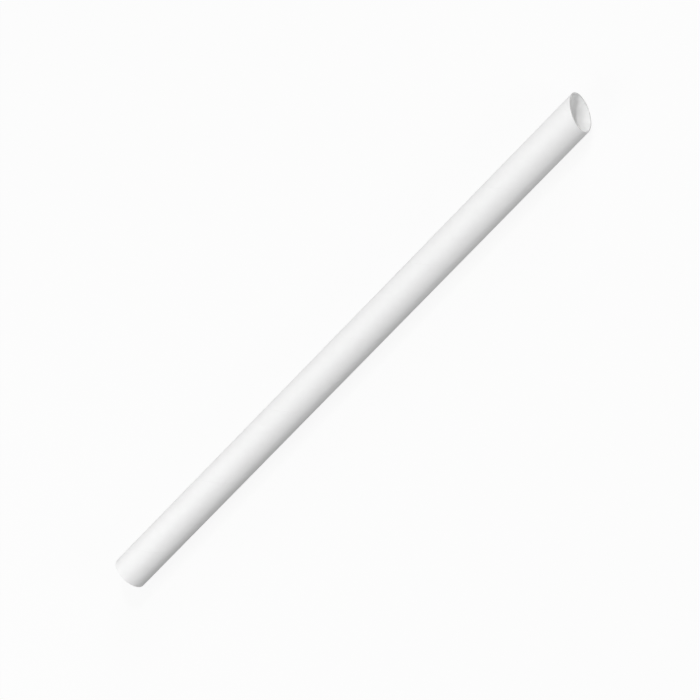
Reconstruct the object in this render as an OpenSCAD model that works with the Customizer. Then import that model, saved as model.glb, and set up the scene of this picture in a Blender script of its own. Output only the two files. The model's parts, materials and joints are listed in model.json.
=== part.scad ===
// Wide paper drinking straw, wound from three plies of white paper strip.
// It lies along X on the floor, with its square end at -X and its slanted end at +X.
// The origin is on the floor, below the middle of its length. Millimetres.

/* [Tube] */
// Outer diameter of the straw
tube_d = 12; // [6:0.5:16]
// Length from the square end to the tip of the slanted end
tube_len = 230; // [120:5:300]
// Depth of the flat that the soft paper takes along the underside, where it lies
rest_flat = 0.06; // [0.02:0.01:0.1]

/* [Paper] */
// Thickness of one ply of paper
ply_t = 0.15; // [0.1:0.01:0.25]
// Number of plies wound on each other
ply_count = 3; // [2:1:4]
// Advance of the strip along the straw in each turn
lead = 36; // [16:1:60]

/* [Slanted end] */
// Angle between the slanted cut and a square cut
cut_angle = 24; // [0:1:45]

/* [Seams] */
// Width of the open joint between the edges of a strip
seam_w = 0.14; // [0.1:0.01:0.3]
// Depth of that joint below the face of its ply
seam_depth = 0.06; // [0.04:0.01:0.08]
// Turn of the outer seam about the straw at the square end, degrees
outer_seam_turn = 325; // [0:5:355]
// Turn of the inner seam about the straw at the square end, degrees
inner_seam_turn = 145; // [0:5:355]

/* [Hidden] */
$fn = 96;
paper_white = [0.96, 0.96, 0.95];

tube_r = tube_d / 2;
wall_t = ply_t * ply_count;
bore_r = tube_r - wall_t;
square_x = -tube_len / 2;
tip_x = tube_len / 2;

// The slant leans back from the tip, which is on the +Y side, to the heel on the -Y side
slant_run = tube_d * tan(cut_angle);
slant_mid_x = tip_x - slant_run / 2;

// All cuts run past the paper by this much
over = 1;

// Steps of a seam in each turn
seam_steps = 36;

// Ring of four corners of the seam's cut at turn angle a: both edges of the strip, at two radii
function seam_ring(x, a, half_w, r_in, r_out) = [
    for (c = [[-1, r_in], [1, r_in], [1, r_out], [-1, r_out]])
        [x + c[0] * half_w, c[1] * cos(a), c[1] * sin(a)]
];

// Right-hand helical band between two radii, from before the square end to past the tip
module seam_cut(face_r, r_in, r_out, square_end_turn) {
    run_on = 2 * over;
    first_x = square_x - run_on;
    first_turn = square_end_turn - 360 * run_on / lead;
    step_turn = 360 / seam_steps;
    step_x = lead / seam_steps;
    steps = ceil((tube_len + 2 * run_on) / step_x);
    // The joint's width is square to the strip's edge, and a ring spans it along X
    half_w = seam_w / 2 * sqrt(1 + pow(lead / (2 * PI * face_r), 2));
    rings = [
        for (i = [0 : steps])
            seam_ring(first_x + i * step_x, first_turn + i * step_turn, half_w, r_in, r_out)
    ];
    points = [for (ring = rings) each ring];
    sides = [
        for (i = [0 : steps - 1]) for (k = [0 : 3])
            let (a = 4 * i + k, b = 4 * i + (k + 1) % 4)
                each [[a, b, b + 4], [a, b + 4, a + 4]]
    ];
    last = 4 * steps;
    polyhedron(points = points, faces = concat(
        [[3, 2, 1, 0]], sides, [[last, last + 1, last + 2, last + 3]]));
}

// Straight tube along X, centred on its own axis
module tube() {
    rotate([0, 90, 0])
        difference() {
            translate([0, 0, square_x])
                cylinder(r = tube_r, h = tube_len);
            translate([0, 0, square_x - over])
                cylinder(r = bore_r, h = tube_len + 2 * over);
        }
}

// Block beyond the slanted cut, upright, through the straw's whole width
module slant_block() {
    block = 3 * tube_d;
    translate([slant_mid_x, 0, 0])
        rotate([0, 0, -cut_angle])
            translate([0, -block / 2, -block / 2])
                cube([block, block, block]);
}

// Slab below the flat on the underside, along the whole straw
module rest_slab() {
    translate([square_x - over, -tube_r, -tube_r - over])
        cube([tube_len + 2 * over, tube_d, rest_flat + over]);
}

module straw() {
    color(paper_white)
        translate([0, 0, tube_r - rest_flat])
            difference() {
                tube();
                slant_block();
                rest_slab();
                seam_cut(tube_r, tube_r - seam_depth, tube_r + over, outer_seam_turn);
                seam_cut(bore_r, bore_r - over, bore_r + seam_depth, inner_seam_turn);
            }
}

straw();
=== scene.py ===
"""Wide white paper drinking straw, lying on a pale floor in soft studio light.

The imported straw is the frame. It gives the tube's radii, its length and where it lies. The visible
straw is made here as the real one is: wound from strip, with a fine butt joint where the strip's
edges meet, and cut to length with its plies open at both ends. Lengths are metres. Angles are
radians, apart from azimuths and elevations, which are degrees.
"""

import json
import logging
import math
from collections.abc import Callable
from dataclasses import dataclass, field
from enum import Enum

import bmesh
import bpy
import numpy as np
from mathutils import Matrix, Vector


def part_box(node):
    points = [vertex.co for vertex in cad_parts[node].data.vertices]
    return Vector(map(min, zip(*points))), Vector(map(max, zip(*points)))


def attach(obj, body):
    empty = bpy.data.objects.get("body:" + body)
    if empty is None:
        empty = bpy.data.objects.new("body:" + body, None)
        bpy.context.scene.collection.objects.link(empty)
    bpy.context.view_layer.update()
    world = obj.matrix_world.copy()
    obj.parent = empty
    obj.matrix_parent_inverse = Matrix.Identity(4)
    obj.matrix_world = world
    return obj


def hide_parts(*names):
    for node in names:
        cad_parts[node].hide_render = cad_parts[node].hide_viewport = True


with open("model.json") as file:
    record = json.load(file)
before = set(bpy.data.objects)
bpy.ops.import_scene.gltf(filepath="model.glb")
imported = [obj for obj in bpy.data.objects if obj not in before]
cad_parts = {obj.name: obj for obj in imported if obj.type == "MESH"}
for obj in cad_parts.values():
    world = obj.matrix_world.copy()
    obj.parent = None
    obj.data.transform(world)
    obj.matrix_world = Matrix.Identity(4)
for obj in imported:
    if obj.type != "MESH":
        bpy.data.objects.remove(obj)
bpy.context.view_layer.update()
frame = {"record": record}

LOG = logging.getLogger("straw")
MM = 0.001
TURN = 2 * math.pi
WINDING_MAP = "winding"
# Points of the section closer than this along X are in one column
SAME_COLUMN = 1e-7
# Vertices closer than this are one, and a vertex this close to a cut lies on it
MERGE_GAP = 1e-6


class PaperFace(Enum):
    """The faces of the straw that have a finish of their own, by material index."""

    OUTSIDE = 0
    INSIDE = 1
    CUT_EDGE = 2


def mount_named(name: str) -> dict:
    """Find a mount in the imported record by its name."""
    return next(mount for mount in frame["record"]["mounts"] if mount["name"] == name)


def deselect_all() -> None:
    """Leave nothing selected, so that an operator meets only what is selected next."""
    if bpy.context.mode != "OBJECT":
        bpy.ops.object.mode_set(mode="OBJECT")
    bpy.ops.object.select_all(action="DESELECT")


def select_only(piece: bpy.types.Object) -> None:
    """Select a piece alone and make it the active one.

    Args:
        piece: The object that the next operators work on.
    """
    deselect_all()
    bpy.context.view_layer.objects.active = piece
    piece.select_set(True)


def edit(piece: bpy.types.Object) -> None:
    """Open a piece in edit mode, alone."""
    select_only(piece)
    bpy.ops.object.mode_set(mode="EDIT")


def leave_edit() -> None:
    """Close edit mode."""
    bpy.ops.object.mode_set(mode="OBJECT")


def pick_edges(
    piece: bpy.types.Object,
    wanted: Callable[[bmesh.types.BMEdge], bool],
    add: bool = False,
) -> int:
    """Select the edges of the edited mesh that a test wants.

    Args:
        piece: The object that is in edit mode.
        wanted: The test of an edge.
        add: Whether what is selected already stays selected.

    Returns:
        How many edges the test wanted.
    """
    if not add:
        bpy.ops.mesh.select_all(action="DESELECT")
    bpy.ops.mesh.select_mode(type="EDGE")
    mesh = bmesh.from_edit_mesh(piece.data)
    found = [edge for edge in mesh.edges if wanted(edge)]
    for edge in found:
        edge.select_set(True)
    bmesh.update_edit_mesh(piece.data)
    return len(found)


def pick_points(piece: bpy.types.Object, wanted: Callable[[Vector], bool]) -> int:
    """Select the vertices of the edited mesh whose place a test wants.

    Args:
        piece: The object that is in edit mode.
        wanted: The test of a vertex's place.

    Returns:
        How many vertices the test wanted.
    """
    bpy.ops.mesh.select_all(action="DESELECT")
    bpy.ops.mesh.select_mode(type="VERT")
    mesh = bmesh.from_edit_mesh(piece.data)
    found = [point for point in mesh.verts if wanted(point.co)]
    for point in found:
        point.select_set(True)
    mesh.select_flush_mode()
    bmesh.update_edit_mesh(piece.data)
    return len(found)


@dataclass(frozen=True)
class Winding:
    """The right-hand helix that the paper strip follows round the X axis.

    Attributes:
        lead: Advance of the strip along the straw in one turn.
        joint_x: Where the outer strip's joint crosses the straw's +Y side.
    """

    lead: float = 36 * MM
    joint_x: float = -111.5 * MM

    def slope(self, radius: float) -> float:
        """Give the angle between a square cut and the strip on a face of this radius."""
        return math.atan(self.lead / (TURN * radius))

    def on_strip(self, places: np.ndarray, middles: np.ndarray, radius: float) -> np.ndarray:
        """Unroll places on the tube to places on the flat strip.

        Args:
            places: Points on the tube, one row each, about the tube's own axis.
            middles: The middle of the face that each point belongs to, row by row. It says on
                which side of a joint the point counts.
            radius: Radius of the face that the strip lies on.

        Returns:
            Distance along the strip and across it from its edge, one row each, in metres.
        """
        middle_turn = np.arctan2(middles[:, 2], middles[:, 1])
        turn = np.arctan2(places[:, 2], places[:, 1])
        turn = middle_turn + (turn - middle_turn + math.pi) % TURN - math.pi
        advance = middles[:, 0] - self.joint_x - self.lead * middle_turn / TURN
        laps = np.floor(advance / self.lead)
        total_turn = turn + TURN * laps
        offset = places[:, 0] - self.joint_x - self.lead * total_turn / TURN
        slope = self.slope(radius)
        along = radius * total_turn / math.cos(slope) + offset * math.sin(slope)
        return np.stack([along, offset * math.cos(slope)], axis=1)


@dataclass(frozen=True)
class CutEnd:
    """A plane cut through the tube.

    Attributes:
        name: Which end this is.
        axis_x: Where the cut meets the tube's axis.
        lean: Angle between this cut and a square one, in the level plane.
        outward: 1 where the tube ends towards +X, and -1 towards -X.
    """

    name: str
    axis_x: float
    lean: float
    outward: int

    def normal(self) -> Vector:
        """Give the cut's normal, pointing away from the tube."""
        return Vector((math.cos(self.lean), -math.sin(self.lean), 0)) * self.outward

    def centre(self, setback: float = 0.0) -> Vector:
        """Give the point on the tube's axis this far behind the cut, square to it."""
        return Vector((self.axis_x - self.outward * setback / math.cos(self.lean), 0, 0))

    def depth(self, place: Vector) -> float:
        """Tell how far a place lies behind the cut, below 0 where it is in front."""
        return (self.centre() - place).dot(self.normal())


@dataclass
class WoundStraw:
    """The straw: a tube wound from strip, with its two cut ends and the small flat it lies on.

    Attributes:
        tube_r: Radius of the outer face.
        bore_r: Radius of the inner face.
        length: From the square end to the tip of the slanted end.
        axis_z: Height of the tube's axis above the floor.
        slant: Angle between the slanted cut and a square one.
        plies: Number of plies in the wall.
        winding: The helix that the strips follow.
        turn_steps: Flats round the tube in one turn.
        joint_half_w: From a joint's deepest line to where it is half as deep.
        joint_shoulder: From there to the level of the face, over the worn edge of the strip.
        joint_depth: Depth of a joint.
        strip_steps: Columns between one joint and the place of the other face's joint.
        rim_setback: How far the rims of a cut are crushed back.
        glue_setback: How far a glue line lies behind the cut.
        ply_round: Width of the rounding at the edge of a ply.
        waviness: Depth of the paper's unevenness.
        wave_size: Width of one hollow of that unevenness.
        cut_facing: Least cosine between a cut's normal and a face that has the cut edge's finish.
        smooth_angle: Faces that meet at less than this are shaded as one.
    """

    tube_r: float
    bore_r: float
    length: float
    axis_z: float
    slant: float = math.radians(24)
    plies: int = 3
    winding: Winding = field(default_factory=Winding)
    turn_steps: int = 120
    joint_half_w: float = 0.012 * MM
    joint_shoulder: float = 0.018 * MM
    joint_depth: float = 0.02 * MM
    strip_steps: int = 6
    rim_setback: float = 0.035 * MM
    glue_setback: float = 0.02 * MM
    ply_round: float = 0.03 * MM
    waviness: float = 0.008 * MM
    wave_size: float = 7 * MM
    cut_facing: float = 0.4
    smooth_angle: float = math.radians(35)

    def __post_init__(self) -> None:
        """Work out the middle of the wall and the two cuts from the sizes."""
        self.middle_r = (self.tube_r + self.bore_r) / 2
        slant_run = 2 * self.tube_r * math.tan(self.slant)
        half = self.length / 2
        self.square_end = CutEnd("square end", -half, 0.0, -1)
        self.slanted_end = CutEnd("slanted end", half - slant_run / 2, self.slant, 1)

    def build(self) -> bpy.types.Object:
        """Make the straw's mesh, at its place in the frame.

        Returns:
            The finished object, at the origin, without its finishes.
        """
        straw = self.wind(self.strip_section())
        edit(straw)
        for end in (self.square_end, self.slanted_end):
            self.cut(end)
        for end in (self.square_end, self.slanted_end):
            self.lay_ply_edges(straw, end)
        self.press_flat(straw)
        bpy.ops.mesh.select_all(action="SELECT")
        bpy.ops.mesh.normals_make_consistent(inside=False)
        leave_edit()
        self.uneven(straw)
        self.map_winding(straw)
        self.sort_faces(straw)
        self.lay_down(straw)
        return straw

    def section_columns(self) -> list[float]:
        """Work out the columns of a strip's section, closer together at the joints.

        Returns:
            Distances from the outer strip's joint along X, from 0 to the lead.
        """
        half_lead = self.winding.lead / 2
        near = [0.0, self.joint_half_w, self.joint_half_w + self.joint_shoulder]
        clear = half_lead - 2 * near[-1]
        between = [near[-1] + clear * i / self.strip_steps for i in range(1, self.strip_steps)]
        first_half = near + between + [half_lead - x for x in reversed(near)]
        return first_half + [half_lead + x for x in first_half[1:]]

    def strip_section(self) -> bpy.types.Object:
        """Model the section of the wall along one lead: the outer face's line and the inner one's.

        The outer line starts and ends in the outer strip's joint. The inner strip is half a turn
        on, so its joint is in the middle of the inner line.

        Returns:
            An object that holds the two lines, on the +Y side of the axis.
        """
        columns = self.section_columns()
        start_x = self.winding_start()
        deselect_all()
        bpy.ops.mesh.primitive_plane_add(size=1)
        section = bpy.context.object
        section.name = "paper_straw"
        edit(section)
        bpy.ops.transform.resize(
            value=(columns[1], self.tube_r - self.bore_r, 1), center_override=(0, 0, 0)
        )
        bpy.ops.transform.translate(value=(start_x + columns[1] / 2, self.middle_r, 0))
        for last, column in zip(columns[1:-1], columns[2:]):
            last_x = start_x + last
            pick_edges(
                section, lambda edge: all(abs(p.co.x - last_x) < SAME_COLUMN for p in edge.verts)
            )
            bpy.ops.mesh.extrude_edges_move(
                TRANSFORM_OT_translate={"value": (column - last, 0, 0)}
            )
        inner_joint_x = start_x + self.winding.lead / 2
        self.sink_joint(section, lambda place: place.y > self.middle_r, start_x, -1)
        self.sink_joint(section, lambda place: place.y < self.middle_r, inner_joint_x, 1)
        pick_edges(
            section, lambda edge: abs(edge.verts[0].co.x - edge.verts[1].co.x) < SAME_COLUMN
        )
        bpy.ops.mesh.delete(type="EDGE_FACE")
        leave_edit()
        return section

    def winding_start(self) -> float:
        """Find a joint on the +Y side that is more than a turn before the square end.

        Returns:
            Its X.
        """
        lead = self.winding.lead
        turns_before = math.ceil((self.winding.joint_x + self.length / 2) / lead) + 1
        return self.winding.joint_x - turns_before * lead

    def sink_joint(
        self,
        section: bpy.types.Object,
        on_line: Callable[[Vector], bool],
        joint_x: float,
        sign: int,
    ) -> None:
        """Sink one line of the section at its joint.

        The first step lowers the joint's middle and the feet of its shoulders by half the depth,
        and the second lowers the middle by the other half.

        Args:
            section: The section, in edit mode.
            on_line: The test for the line's points.
            joint_x: A place of the joint. It comes again after each lead.
            sign: -1 to sink towards the axis, and 1 away from it.
        """
        lead = self.winding.lead
        half_depth = sign * self.joint_depth / 2
        past_feet = self.joint_half_w + self.joint_shoulder / 2
        short_of_feet = self.joint_half_w / 2
        for reach in (past_feet, short_of_feet):

            def in_joint(place: Vector) -> bool:
                """Tell whether a point of the line is in this part of the joint."""
                off = (place.x - joint_x + lead / 2) % lead - lead / 2
                return on_line(place) and abs(off) < reach

            pick_points(section, in_joint)
            bpy.ops.transform.translate(value=(0, half_depth, 0))

    def wind(self, section: bpy.types.Object) -> bpy.types.Object:
        """Sweep the section along the helix, past both ends of the straw.

        Args:
            section: The section's two lines.

        Returns:
            The same object, now two open walls with each turn joined to the next.
        """
        select_only(section)
        bpy.ops.object.transform_apply(location=True, rotation=True, scale=True)
        lead = self.winding.lead
        screw = section.modifiers.new("winding", "SCREW")
        screw.axis = "X"
        screw.angle = TURN
        screw.screw_offset = lead
        screw.steps = self.turn_steps
        screw.render_steps = self.turn_steps
        screw.iterations = math.ceil((self.length / 2 - self.winding_start()) / lead) + 1
        screw.use_normal_calculate = False
        bpy.ops.object.modifier_apply(modifier=screw.name)
        edit(section)
        bpy.ops.mesh.select_all(action="SELECT")
        bpy.ops.mesh.remove_doubles(threshold=MERGE_GAP)
        leave_edit()
        return section

    def cut(self, end: CutEnd) -> None:
        """Cut the walls off just behind an end, in edit mode.

        Args:
            end: The cut to make.
        """
        bpy.ops.mesh.select_all(action="SELECT")
        bpy.ops.mesh.bisect(
            plane_co=end.centre(self.rim_setback),
            plane_no=end.normal(),
            clear_outer=True,
            threshold=MERGE_GAP,
        )

    def ply_rings(self) -> list[tuple[float, float]]:
        """Work out the rings across a cut: the two sides of each ply and the glue lines between.

        Returns:
            Radius and setback of each ring, from the outside in, without the tube's own rims.
        """
        ply_t = (self.tube_r - self.bore_r) / self.plies
        rings = []
        for ply in range(self.plies):
            outer = self.tube_r - ply * ply_t
            rings.append((outer - self.ply_round, 0.0))
            rings.append((outer - ply_t + self.ply_round, 0.0))
            if ply < self.plies - 1:
                rings.append((outer - ply_t, self.glue_setback))
        return rings

    def on_rim(self, edge: bmesh.types.BMEdge, end: CutEnd, outer: bool) -> bool:
        """Tell whether an edge lies on the open rim that a cut leaves of a wall.

        Args:
            edge: An edge of the two walls.
            end: The cut.
            outer: Whether the outer wall is meant, and not the inner one.

        Returns:
            Whether it does.
        """
        place = edge.verts[0].co
        on_cut = edge.is_boundary and abs(end.depth(place) - self.rim_setback) < MERGE_GAP
        return on_cut and (math.hypot(place.y, place.z) > self.middle_r) == outer

    def lay_ply_edges(self, straw: bpy.types.Object, end: CutEnd) -> None:
        """Close an end with the cut edges of its plies, in edit mode.

        Args:
            straw: The two walls, cut off just behind the end.
            end: The cut that the plies come out at.
        """
        around_outer = pick_edges(straw, lambda edge: self.on_rim(edge, end, True))
        radius, setback = self.tube_r, self.rim_setback
        for next_radius, next_setback in self.ply_rings():
            bpy.ops.mesh.extrude_edges_move()
            factor = next_radius / radius
            bpy.ops.transform.resize(
                value=(factor, factor, factor), center_override=end.centre(setback)
            )
            forward = end.centre(next_setback) - end.centre(setback)
            bpy.ops.transform.translate(value=forward)
            radius, setback = next_radius, next_setback
        around_inner = pick_edges(straw, lambda edge: self.on_rim(edge, end, False), add=True)
        bpy.ops.mesh.bridge_edge_loops()
        LOG.info("%s: rims of %d and %d edges", end.name, around_outer, around_inner)

    def press_flat(self, straw: bpy.types.Object) -> None:
        """Flatten the underside where the straw lies, in edit mode.

        Args:
            straw: The closed tube, about its own axis.
        """
        below = pick_points(straw, lambda place: place.z < -self.axis_z)
        bpy.ops.transform.resize(value=(1, 1, 0), center_override=(0, 0, -self.axis_z))
        LOG.info("resting flat: %d points", below)

    def uneven(self, straw: bpy.types.Object) -> None:
        """Give the faces the slight unevenness of wound paper, into the wall only.

        Args:
            straw: The closed tube.
        """
        clouds = bpy.data.textures.new("paper_waves", "CLOUDS")
        clouds.noise_scale = self.wave_size
        clouds.noise_depth = 1
        waves = straw.modifiers.new("waves", "DISPLACE")
        waves.texture = clouds
        waves.texture_coords = "LOCAL"
        waves.direction = "NORMAL"
        # The clouds lie between 0 and 1, so with 1 as their level they only press into the wall
        waves.mid_level = 1.0
        waves.strength = self.waviness
        bpy.ops.object.modifier_apply(modifier=waves.name)

    def map_winding(self, straw: bpy.types.Object) -> None:
        """Write each corner's place on the flat strip to the piece's own map.

        Args:
            straw: The closed tube, about its own axis.
        """
        mesh = straw.data
        corner_count = len(mesh.loops)
        corner_vertex = np.empty(corner_count, np.int32)
        mesh.loops.foreach_get("vertex_index", corner_vertex)
        places = np.empty(len(mesh.vertices) * 3)
        mesh.vertices.foreach_get("co", places)
        middles = np.empty(len(mesh.polygons) * 3)
        mesh.polygons.foreach_get("center", middles)
        corners = np.empty(len(mesh.polygons), np.int32)
        mesh.polygons.foreach_get("loop_total", corners)
        corner_places = places.reshape(-1, 3)[corner_vertex]
        corner_middles = np.repeat(middles.reshape(-1, 3), corners, axis=0)
        strip = self.winding.on_strip(corner_places, corner_middles, self.tube_r)
        strip_map = mesh.uv_layers.new(name=WINDING_MAP)
        strip_map.data.foreach_set("uv", strip.astype(np.float32).ravel())

    def face_kind(self, face: bpy.types.MeshPolygon) -> PaperFace:
        """Tell which finish a face takes.

        Args:
            face: A face of the straw, about its own axis.

        Returns:
            The kind of face.
        """
        for end in (self.square_end, self.slanted_end):
            at_cut = end.depth(face.center) < 2 * self.rim_setback
            if at_cut and face.normal.dot(end.normal()) > self.cut_facing:
                return PaperFace.CUT_EDGE
        outward = Vector((0, face.center.y, face.center.z))
        return PaperFace.OUTSIDE if face.normal.dot(outward) > 0 else PaperFace.INSIDE

    def sort_faces(self, straw: bpy.types.Object) -> None:
        """Give each face of the straw the material index of its finish."""
        for face in straw.data.polygons:
            face.material_index = self.face_kind(face).value

    def lay_down(self, straw: bpy.types.Object) -> None:
        """Lift the tube from its own axis to where it lies on the floor, in its mesh.

        Args:
            straw: The closed tube, about its own axis.
        """
        select_only(straw)
        bpy.ops.object.shade_smooth_by_angle(angle=self.smooth_angle)
        bpy.ops.transform.translate(value=(0, 0, self.axis_z))
        bpy.ops.object.transform_apply(location=True, rotation=True, scale=True)


# What an input socket is given: another node's output, or a value of its own
Source = bpy.types.NodeSocket | float


@dataclass(frozen=True)
class Grain:
    """How rich a noise is.

    Attributes:
        octaves: Number of its octaves.
        fineness: How much the finer octaves count.
    """

    octaves: float
    fineness: float


FIBRE_GRAIN = Grain(2.0, 0.6)
PULP_GRAIN = Grain(4.0, 0.62)
# Directions of the layers of fibres on the paper
FIBRE_TURNS = (math.radians(-28), math.radians(4), math.radians(37))


class Sockets:
    """Short ways to place and link the nodes of one node tree."""

    def __init__(self, tree: bpy.types.NodeTree) -> None:
        """Keep the tree that the nodes go into."""
        self.tree = tree

    def add(self, kind: str, **settings: object) -> bpy.types.Node:
        """Add a node and set its own choices.

        Args:
            kind: Blender's name for the node's type.
            **settings: Values for the node's properties.

        Returns:
            The node.
        """
        node = self.tree.nodes.new(kind)
        for name, value in settings.items():
            setattr(node, name, value)
        return node

    def placed(self, group: bpy.types.NodeTree, **values: Source) -> bpy.types.Node:
        """Place a shared group.

        Args:
            group: The group.
            **values: Its inputs, with _ for a blank in their names.

        Returns:
            The group's node.
        """
        node = self.add("ShaderNodeGroup", node_tree=group)
        for label, value in values.items():
            self.feed(node.inputs[label.replace("_", " ")], value)
        return node

    def feed(self, socket: bpy.types.NodeSocket, source: Source) -> None:
        """Give an input socket its value or link.

        Args:
            socket: The input socket.
            source: An output socket to link, or a value to set.
        """
        if isinstance(source, bpy.types.NodeSocket):
            self.tree.links.new(source, socket)
        else:
            socket.default_value = source

    def math(self, operation: str, first: Source, second: Source = 0.0) -> bpy.types.NodeSocket:
        """Work out a number.

        Args:
            operation: Blender's name for the operation.
            first: The first number, as a socket or a value.
            second: The second number, as a socket or a value.

        Returns:
            The result's socket.
        """
        node = self.add("ShaderNodeMath", operation=operation)
        self.feed(node.inputs[0], first)
        self.feed(node.inputs[1], second)
        return node.outputs[0]

    def noise(
        self, vector: bpy.types.NodeSocket, scale: Source, grain: Grain
    ) -> bpy.types.NodeSocket:
        """Sample a smooth noise.

        Args:
            vector: Where to sample.
            scale: The noise's scale.
            grain: How rich it is.

        Returns:
            The socket of a value round 0.5.
        """
        node = self.add("ShaderNodeTexNoise")
        self.feed(node.inputs["Vector"], vector)
        self.feed(node.inputs["Scale"], scale)
        node.inputs["Detail"].default_value = grain.octaves
        node.inputs["Roughness"].default_value = grain.fineness
        return node.outputs["Fac"]

    def turned(self, vector: bpy.types.NodeSocket, turn: float) -> bpy.types.NodeSocket:
        """Turn a vector about Z.

        Args:
            vector: The vector to turn.
            turn: How far.

        Returns:
            The new vector's socket.
        """
        spin = self.add("ShaderNodeVectorRotate", rotation_type="Z_AXIS")
        self.feed(spin.inputs["Vector"], vector)
        spin.inputs["Angle"].default_value = turn
        return spin.outputs[0]

    def ridge(self, distance: bpy.types.NodeSocket, width: Source) -> bpy.types.NodeSocket:
        """Fall from 1 to 0 over a width, softly.

        Args:
            distance: How far a place is from the ridge's top line.
            width: How far from it the ridge ends.

        Returns:
            The ridge's socket.
        """
        ramp = self.add("ShaderNodeMapRange", interpolation_type="SMOOTHSTEP")
        self.feed(ramp.inputs["Value"], distance)
        self.feed(ramp.inputs["From Max"], width)
        ramp.inputs["To Min"].default_value = 1.0
        ramp.inputs["To Max"].default_value = 0.0
        return ramp.outputs[0]

    def close(
        self, output: str, share: bpy.types.NodeSocket, plain: bpy.types.Node, seen: bpy.types.Node
    ) -> None:
        """End the tree with a mix of the shader that lights the straw and the one that is seen.

        Args:
            output: Blender's name for the output node.
            share: How much of the second shader is taken.
            plain: The first shader.
            seen: The second shader.
        """
        mix = self.add("ShaderNodeMixShader")
        self.feed(mix.inputs[0], share)
        self.feed(mix.inputs[1], plain.outputs[0])
        self.feed(mix.inputs[2], seen.outputs[0])
        self.feed(self.add(output).inputs["Surface"], mix.outputs[0])


def new_group(
    name: str, inputs: dict[str, float | None], outputs: tuple[str, ...]
) -> tuple[bpy.types.NodeTree, Sockets, bpy.types.Node, bpy.types.Node]:
    """Start a shader node group.

    Args:
        name: The group's name.
        inputs: Each input's name and default. None makes it a vector.
        outputs: The names of its number outputs.

    Returns:
        The group, a helper for its nodes, its input node and its output node.
    """
    group = bpy.data.node_groups.new(name, "ShaderNodeTree")
    for label, default in inputs.items():
        kind = "NodeSocketVector" if default is None else "NodeSocketFloat"
        socket = group.interface.new_socket(name=label, in_out="INPUT", socket_type=kind)
        if default is not None:
            socket.default_value = default
    for label in outputs:
        group.interface.new_socket(name=label, in_out="OUTPUT", socket_type="NodeSocketFloat")
    sockets = Sockets(group)
    return group, sockets, sockets.add("NodeGroupInput"), sockets.add("NodeGroupOutput")


def fibre_group() -> bpy.types.NodeTree:
    """Make the group for paper's felted fibres: long soft streaks that cross at low angles.

    Returns:
        The group. Place is in metres on the paper, and Height is round 0.5.
    """
    group, sockets, given, out = new_group(
        "felted_fibres",
        {"Place": None, "Fibre length": 0.9 * MM, "Fibre width": 0.06 * MM},
        ("Height",),
    )
    across = sockets.math("DIVIDE", 1.0, given.outputs["Fibre width"])
    shrink = sockets.math("DIVIDE", given.outputs["Fibre width"], given.outputs["Fibre length"])
    layers = []
    for turn in FIBRE_TURNS:
        parts = sockets.add("ShaderNodeSeparateXYZ")
        sockets.feed(parts.inputs[0], sockets.turned(given.outputs["Place"], turn))
        joined = sockets.add("ShaderNodeCombineXYZ")
        sockets.feed(joined.inputs[0], sockets.math("MULTIPLY", parts.outputs[0], shrink))
        sockets.feed(joined.inputs[1], parts.outputs[1])
        sockets.feed(joined.inputs[2], parts.outputs[2])
        layers.append(sockets.noise(joined.outputs[0], across, FIBRE_GRAIN))
    both = sockets.math("MAXIMUM", layers[0], layers[1])
    sockets.feed(out.inputs["Height"], sockets.math("MAXIMUM", both, layers[2]))
    return group


def formation_group() -> bpy.types.NodeTree:
    """Make the group for paper's formation: the faint cloudiness of its pulp.

    Returns:
        The group. Place is in metres on the paper, and Cloud is round 0.5.
    """
    group, sockets, given, out = new_group(
        "pulp_formation", {"Place": None, "Flock size": 2.5 * MM}, ("Cloud",)
    )
    scale = sockets.math("DIVIDE", 1.0, given.outputs["Flock size"])
    sockets.feed(out.inputs["Cloud"], sockets.noise(given.outputs["Place"], scale, PULP_GRAIN))
    return group


def joint_group() -> bpy.types.NodeTree:
    """Make the group for the strip's edges, and for the next ply's joint showing through.

    Returns:
        The group. Across is the place across the strip in metres, and Under place is where the
        next ply's joint lies, as a share of the strip's width. Edge is 1 at the strip's edges,
        and Under is 1 over that joint.
    """
    group, sockets, given, out = new_group(
        "strip_joints",
        {
            "Across": 0.0,
            "Strip width": 26 * MM,
            "Edge width": 0.1 * MM,
            "Under place": 0.36,
            "Under width": 0.8 * MM,
        },
        ("Edge", "Under"),
    )
    across, width = given.outputs["Across"], given.outputs["Strip width"]
    to_far = sockets.math("SUBTRACT", width, across)
    to_edge = sockets.math("ABSOLUTE", sockets.math("MINIMUM", across, to_far))
    sockets.feed(out.inputs["Edge"], sockets.ridge(to_edge, given.outputs["Edge width"]))
    under = sockets.math("MULTIPLY", width, given.outputs["Under place"])
    to_under = sockets.math("ABSOLUTE", sockets.math("SUBTRACT", across, under))
    sockets.feed(out.inputs["Under"], sockets.ridge(to_under, given.outputs["Under width"]))
    return group


@dataclass(frozen=True)
class PaperGroups:
    """The node groups that the paper finishes share.

    Attributes:
        fibres: Felted fibres.
        formation: Cloudiness of the pulp.
        joints: Edges of the strip.
    """

    fibres: bpy.types.NodeTree
    formation: bpy.types.NodeTree
    joints: bpy.types.NodeTree


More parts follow.
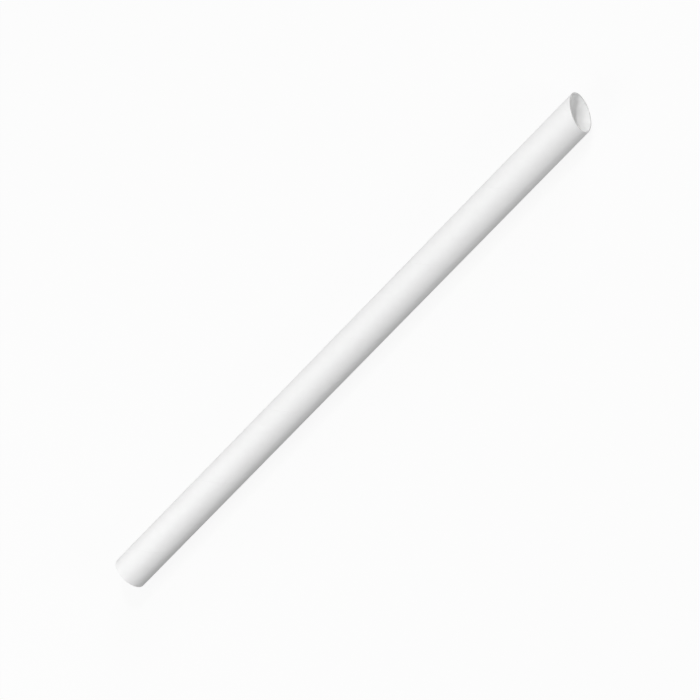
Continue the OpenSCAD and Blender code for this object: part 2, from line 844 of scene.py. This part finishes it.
@dataclass(frozen=True)
class PaperFinish:
    """One finish of the white paper.

    Attributes:
        name: The material's name.
        thin_colour: Colour where the pulp is thin.
        full_colour: Colour where the pulp is full.
        joint_shade: How much the strip's edges darken, from 0 to 1.
        roughness: Mean roughness.
        roughness_swing: How far the fibres move it.
        fibre_length: Length of a fibre's streak.
        fibre_width: Width of a fibre's streak.
        flock_size: Width of a cloud of pulp.
        bump: Height of the fibres and clouds together.
        strip_width: Width of the strip, or 0 where the face doesn't follow the winding.
        joint_tint: What the colour is multiplied by at a strip's edge of full shade.
        cloud_range: The cloudiness at the thin and at the full colour.
        fibre_share: Share of the fibres in the bump. The rest is the clouds'.
        under_depth: Depth of the hollow over the next ply's joint, as a share of the bump.
        ior: Index of refraction.
        gloss: Level of the mirror reflection.
    """

    name: str
    thin_colour: tuple[float, float, float]
    full_colour: tuple[float, float, float]
    joint_shade: float
    roughness: float
    roughness_swing: float
    fibre_length: float
    fibre_width: float
    flock_size: float
    bump: float
    strip_width: float
    joint_tint: tuple[float, float, float] = (0.6, 0.58, 0.55)
    cloud_range: tuple[float, float] = (0.3, 0.7)
    fibre_share: float = 0.6
    under_depth: float = 0.5
    ior: float = 1.45
    gloss: float = 0.35

    def pulp_colour(self, sockets: Sockets, cloud: bpy.types.NodeSocket) -> bpy.types.NodeSocket:
        """Work out the paper's colour from its cloudiness.

        Args:
            sockets: The material's node helper.
            cloud: The cloudiness.

        Returns:
            The colour's socket.
        """
        spread = sockets.add("ShaderNodeMapRange")
        sockets.feed(spread.inputs["Value"], cloud)
        spread.inputs["From Min"].default_value = self.cloud_range[0]
        spread.inputs["From Max"].default_value = self.cloud_range[1]
        tone = sockets.add("ShaderNodeMix", data_type="RGBA")
        sockets.feed(tone.inputs["Factor"], spread.outputs[0])
        tone.inputs["A"].default_value = (*self.thin_colour, 1)
        tone.inputs["B"].default_value = (*self.full_colour, 1)
        return tone.outputs["Result"]

    def shaded_edges(
        self, sockets: Sockets, colour: bpy.types.NodeSocket, edge: bpy.types.NodeSocket
    ) -> bpy.types.NodeSocket:
        """Darken the paper at the strip's edges.

        Args:
            sockets: The material's node helper.
            colour: The paper's colour.
            edge: 1 at the strip's edges.

        Returns:
            The new colour's socket.
        """
        shade = sockets.add("ShaderNodeMix", data_type="RGBA", blend_type="MULTIPLY")
        sockets.feed(shade.inputs["Factor"], sockets.math("MULTIPLY", edge, self.joint_shade))
        sockets.feed(shade.inputs["A"], colour)
        shade.inputs["B"].default_value = (*self.joint_tint, 1)
        return shade.outputs["Result"]

    def material(self, groups: PaperGroups) -> bpy.types.Material:
        """Make the material.

        Args:
            groups: The shared node groups.

        Returns:
            The material.
        """
        made = bpy.data.materials.new(self.name)
        made.use_nodes = True
        made.node_tree.nodes.clear()
        sockets = Sockets(made.node_tree)
        if self.strip_width:
            place = sockets.add("ShaderNodeUVMap", uv_map=WINDING_MAP).outputs[0]
        else:
            place = sockets.add("ShaderNodeTexCoord").outputs["Object"]
        felt = sockets.placed(
            groups.fibres,
            Place=place,
            Fibre_length=self.fibre_length,
            Fibre_width=self.fibre_width,
        )
        fibres = felt.outputs["Height"]
        pulp = sockets.placed(groups.formation, Place=place, Flock_size=self.flock_size)
        cloud = pulp.outputs["Cloud"]
        colour = self.pulp_colour(sockets, cloud)
        fibre_height = sockets.math("MULTIPLY", fibres, self.fibre_share)
        cloud_height = sockets.math("MULTIPLY", cloud, 1 - self.fibre_share)
        height = sockets.math("ADD", fibre_height, cloud_height)
        if self.strip_width:
            parts = sockets.add("ShaderNodeSeparateXYZ")
            sockets.feed(parts.inputs[0], place)
            joints = sockets.placed(
                groups.joints, Across=parts.outputs[1], Strip_width=self.strip_width
            )
            colour = self.shaded_edges(sockets, colour, joints.outputs["Edge"])
            sunk = sockets.math("MULTIPLY", joints.outputs["Under"], self.under_depth)
            height = sockets.math("SUBTRACT", height, sunk)
        bump = sockets.add("ShaderNodeBump")
        bump.inputs["Strength"].default_value = 1.0
        bump.inputs["Distance"].default_value = self.bump
        sockets.feed(bump.inputs["Height"], height)
        least_rough = self.roughness - self.roughness_swing / 2
        swing = sockets.math("MULTIPLY", fibres, self.roughness_swing)
        shader = sockets.add("ShaderNodeBsdfPrincipled")
        sockets.feed(shader.inputs["Base Color"], colour)
        sockets.feed(shader.inputs["Roughness"], sockets.math("ADD", swing, least_rough))
        sockets.feed(shader.inputs["Normal"], bump.outputs[0])
        shader.inputs["IOR"].default_value = self.ior
        shader.inputs["Specular IOR Level"].default_value = self.gloss
        output = sockets.add("ShaderNodeOutputMaterial")
        sockets.feed(output.inputs["Surface"], shader.outputs[0])
        return made


def towards(azimuth: float, elevation: float) -> Vector:
    """Give the direction from the straw towards a place round it.

    Args:
        azimuth: From +X towards +Y, in degrees.
        elevation: Above the floor, in degrees.

    Returns:
        The direction, one long.
    """
    round_z, up = math.radians(azimuth), math.radians(elevation)
    level = math.cos(up)
    return Vector((level * math.cos(round_z), level * math.sin(round_z), math.sin(up)))


@dataclass(frozen=True)
class SoftBox:
    """A rectangular studio light that faces the middle of the straw.

    Attributes:
        name: The light's name.
        azimuth: Where it stands, in degrees from +X towards +Y.
        elevation: How high it stands, in degrees above the floor.
        distance: From the straw's middle.
        width: Its width.
        height: Its height.
        power: Its power in watts.
    """

    name: str
    azimuth: float
    elevation: float
    distance: float
    width: float
    height: float
    power: float

    def build(self) -> None:
        """Add the light."""
        data = bpy.data.lights.new(self.name, "AREA")
        data.shape = "RECTANGLE"
        data.size = self.width
        data.size_y = self.height
        data.energy = self.power
        light = bpy.data.objects.new(self.name, data)
        bpy.context.scene.collection.objects.link(light)
        away = towards(self.azimuth, self.elevation)
        light.location = away * self.distance
        light.rotation_euler = away.to_track_quat("Z", "Y").to_euler()
        light.visible_camera = False


@dataclass(frozen=True)
class PhotoCamera:
    """The camera of the photograph, round the straw.

    Attributes:
        aim: The point at the picture's middle.
        distance: From that point to the lens.
        azimuth: Of the lens, in degrees from +X towards +Y.
        elevation: Of the lens, in degrees above the floor.
        roll: Turn of the camera about its own view line.
        lens_mm: Focal length in millimetres.
        sensor_mm: Width of the sensor in millimetres.
        clip_near: Nearest place that is drawn.
        clip_far: Farthest place that is drawn.
    """

    aim: tuple[float, float, float] = (-0.299 * MM, -0.439 * MM, 5.94 * MM)
    distance: float = 1371.1 * MM
    azimuth: float = -32.94
    elevation: float = 58.606
    roll: float = math.radians(-98.42)
    lens_mm: float = 221.94
    sensor_mm: float = 36
    clip_near: float = 0.01
    clip_far: float = 50

    def build(self) -> None:
        """Add the camera and make it the scene's own."""
        data = bpy.data.cameras.new("photo_camera")
        data.sensor_width = self.sensor_mm
        data.lens = self.lens_mm
        data.clip_start = self.clip_near
        data.clip_end = self.clip_far
        camera = bpy.data.objects.new("photo_camera", data)
        bpy.context.scene.collection.objects.link(camera)
        back = towards(self.azimuth, self.elevation)
        upright = back.to_track_quat("Z", "Y").to_matrix()
        turned = upright @ Matrix.Rotation(self.roll, 3, "Z")
        camera.rotation_euler = turned.to_euler()
        camera.location = Vector(self.aim) + back * self.distance
        bpy.context.scene.camera = camera


@dataclass
class Studio:
    """The floor, the lights and the camera.

    Attributes:
        floor_size: Side of the square floor.
        floor_colour: How much light the floor throws back.
        floor_glow: How bright the floor looks of itself, as under a photographer's white sweep.
        glow_share: How much of the floor's look is that glow. The rest is its own light and shade.
        air_colour: How bright the air looks beyond the floor.
        ambient: Strength of the light from all round.
        boxes: The soft boxes.
        camera: The camera.
    """

    floor_size: float = 12.0
    floor_colour: float = 0.35
    floor_glow: float = 1.13
    glow_share: float = 0.8
    air_colour: float = 0.985
    ambient: float = 0.2
    boxes: tuple[SoftBox, ...] = (
        SoftBox(
            "mouth_key",
            azimuth=25, elevation=46, distance=1.8, width=0.14, height=0.14, power=10.8,
        ),
        SoftBox(
            "mouth_wide_box",
            azimuth=30, elevation=16, distance=3.2, width=1.4, height=0.9, power=39.8,
        ),
        SoftBox(
            "crown_box",
            azimuth=15, elevation=72, distance=3.2, width=0.9, height=0.9, power=19.0,
        ),
        SoftBox(
            "near_low_box",
            azimuth=315, elevation=20, distance=0.9, width=0.3, height=0.2, power=1.98,
        ),
        SoftBox(
            "tail_box",
            azimuth=180, elevation=45, distance=0.6, width=0.35, height=0.35, power=1.19,
        ),
    )
    camera: PhotoCamera = field(default_factory=PhotoCamera)

    def floor(self) -> None:
        """Add the plain pale floor."""
        deselect_all()
        bpy.ops.mesh.primitive_plane_add(size=self.floor_size)
        floor = bpy.context.object
        floor.name = "studio_floor"
        finish = bpy.data.materials.new("pale_floor")
        finish.use_nodes = True
        finish.node_tree.nodes.clear()
        sockets = Sockets(finish.node_tree)
        matt = sockets.add("ShaderNodeBsdfDiffuse")
        matt.inputs["Color"].default_value = (self.floor_colour,) * 3 + (1,)
        glow = sockets.add("ShaderNodeEmission")
        glow.inputs["Strength"].default_value = self.floor_glow
        path = sockets.add("ShaderNodeLightPath")
        share = sockets.math("MULTIPLY", path.outputs["Is Camera Ray"], self.glow_share)
        sockets.close("ShaderNodeOutputMaterial", share, matt, glow)
        floor.data.materials.append(finish)

    def air(self) -> None:
        """Set the light from all round, the pale air and a plain view transform."""
        world = bpy.data.worlds.new("studio_air")
        world.use_nodes = True
        world.node_tree.nodes.clear()
        sockets = Sockets(world.node_tree)
        light = sockets.add("ShaderNodeBackground")
        light.inputs["Strength"].default_value = self.ambient
        seen = sockets.add("ShaderNodeBackground")
        seen.inputs["Strength"].default_value = self.air_colour
        for background in (light, seen):
            background.inputs["Color"].default_value = (1, 1, 1, 1)
        path = sockets.add("ShaderNodeLightPath")
        sockets.close("ShaderNodeOutputWorld", path.outputs["Is Camera Ray"], light, seen)
        bpy.context.scene.world = world
        bpy.context.scene.view_settings.view_transform = "Standard"
        bpy.context.scene.view_settings.look = "None"

    def build(self) -> None:
        """Set up the whole studio."""
        self.floor()
        self.air()
        for box in self.boxes:
            box.build()
        self.camera.build()


def paper_finishes(winding: Winding, tube_r: float) -> dict[PaperFace, PaperFinish]:
    """Give the finish of each kind of face.

    Args:
        winding: The helix of the strips.
        tube_r: Radius of the straw's outer face.

    Returns:
        The finishes.
    """
    strip_width = winding.lead * math.cos(winding.slope(tube_r))
    return {
        PaperFace.OUTSIDE: PaperFinish(
            name="white_paper_outside",
            thin_colour=(0.885, 0.885, 0.883),
            full_colour=(0.905, 0.905, 0.904),
            joint_shade=0.1,
            roughness=0.62,
            roughness_swing=0.16,
            fibre_length=1.1 * MM,
            fibre_width=0.07 * MM,
            flock_size=2.4 * MM,
            bump=0.022 * MM,
            strip_width=strip_width,
        ),
        PaperFace.INSIDE: PaperFinish(
            name="white_paper_inside",
            thin_colour=(0.875, 0.875, 0.872),
            full_colour=(0.9, 0.9, 0.898),
            joint_shade=0.15,
            roughness=0.7,
            roughness_swing=0.16,
            fibre_length=1.3 * MM,
            fibre_width=0.08 * MM,
            flock_size=2.8 * MM,
            bump=0.025 * MM,
            strip_width=strip_width,
        ),
        PaperFace.CUT_EDGE: PaperFinish(
            name="paper_cut_edge_painted_shade",
            # The cut edge's colours sit well below the paper's white: painted shade, standing in for
            # the shade that the cut face and the gaps between its cut fibres get
            thin_colour=(0.59, 0.59, 0.585),
            full_colour=(0.66, 0.66, 0.656),
            joint_shade=0.0,
            roughness=0.85,
            roughness_swing=0.1,
            fibre_length=0.25 * MM,
            fibre_width=0.05 * MM,
            flock_size=0.5 * MM,
            bump=0.03 * MM,
            strip_width=0.0,
        ),
    }


def straw_from_frame() -> WoundStraw:
    """Read the straw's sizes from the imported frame.

    Returns:
        The straw, not yet built.
    """
    outside = mount_named("outside")
    low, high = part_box("straw")
    return WoundStraw(
        tube_r=outside["dims"]["r_mm"] * MM,
        bore_r=mount_named("bore")["dims"]["r_mm"] * MM,
        length=high.x - low.x,
        axis_z=outside["pos_m"][2],
    )


def main() -> None:
    """Build the straw and the studio, and report each piece."""
    logging.basicConfig(level=logging.INFO, format="%(name)s: %(message)s")
    maker = straw_from_frame()
    straw = maker.build()
    groups = PaperGroups(fibre_group(), formation_group(), joint_group())
    finishes = paper_finishes(maker.winding, maker.tube_r)
    for face in PaperFace:
        straw.data.materials.append(finishes[face].material(groups))
    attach(straw, "root")
    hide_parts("straw")
    LOG.info("%s: %d faces", straw.name, len(straw.data.polygons))
    Studio().build()
    LOG.info("studio: floor, lights and camera")


if __name__ == "__main__":
    main()
